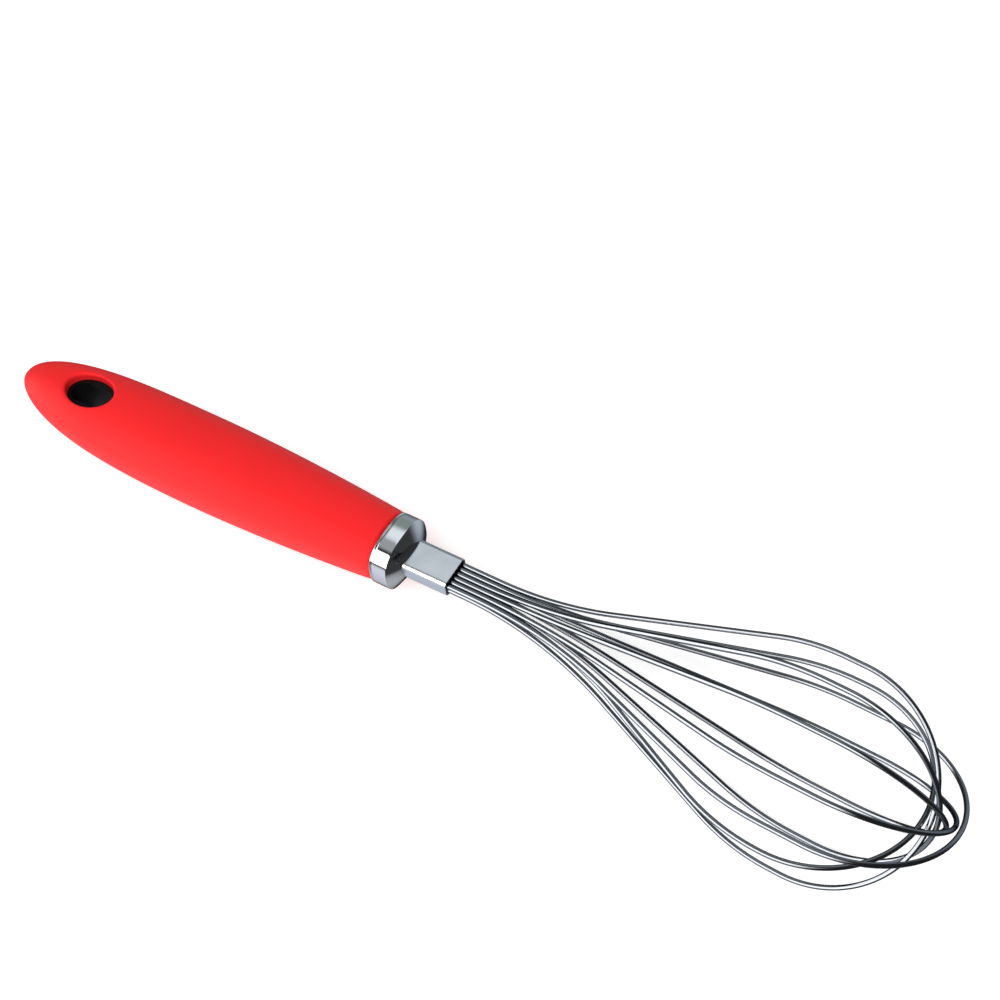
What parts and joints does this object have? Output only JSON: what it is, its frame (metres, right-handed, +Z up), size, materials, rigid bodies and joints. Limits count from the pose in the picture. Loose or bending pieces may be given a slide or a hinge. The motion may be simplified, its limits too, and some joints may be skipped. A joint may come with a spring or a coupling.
{
  "type": "balloon whisk",
  "caption": "Hand whisk with a soft oval handle, a hanging hole, a chromed collar, a flat oval ferrule and nested wire loops.",
  "frame": {"origin": "middle of the whisk's own bounding box, on the table it rests on", "axes": "+X runs along the whisk from the handle's butt to the balloon's tip, +Z is up from the table, the flat top of the handle faces up"},
  "size_m": [0.2906, 0.0584, 0.0583],
  "materials": {
    "red_grip": "satin soft-touch",
    "black_core": "matte moulded",
    "chrome_collar": "bright chrome plate",
    "steel_ferrule": "satin polished",
    "dark_filler": "matte cast filler",
    "steel_wire": "polished stainless wire"
  },
  "bodies": {
    "root": {"handle_grip": "red_grip", "handle_core": "black_core", "end_collar": "chrome_collar", "ferrule": "steel_ferrule", "ferrule_plug": "dark_filler", "wire_loop_1": "steel_wire", "wire_loop_2": "steel_wire", "wire_loop_3": "steel_wire", "wire_loop_4": "steel_wire", "wire_loop_5": "steel_wire", "wire_loop_6": "steel_wire"}
  },
  "joints": []
}
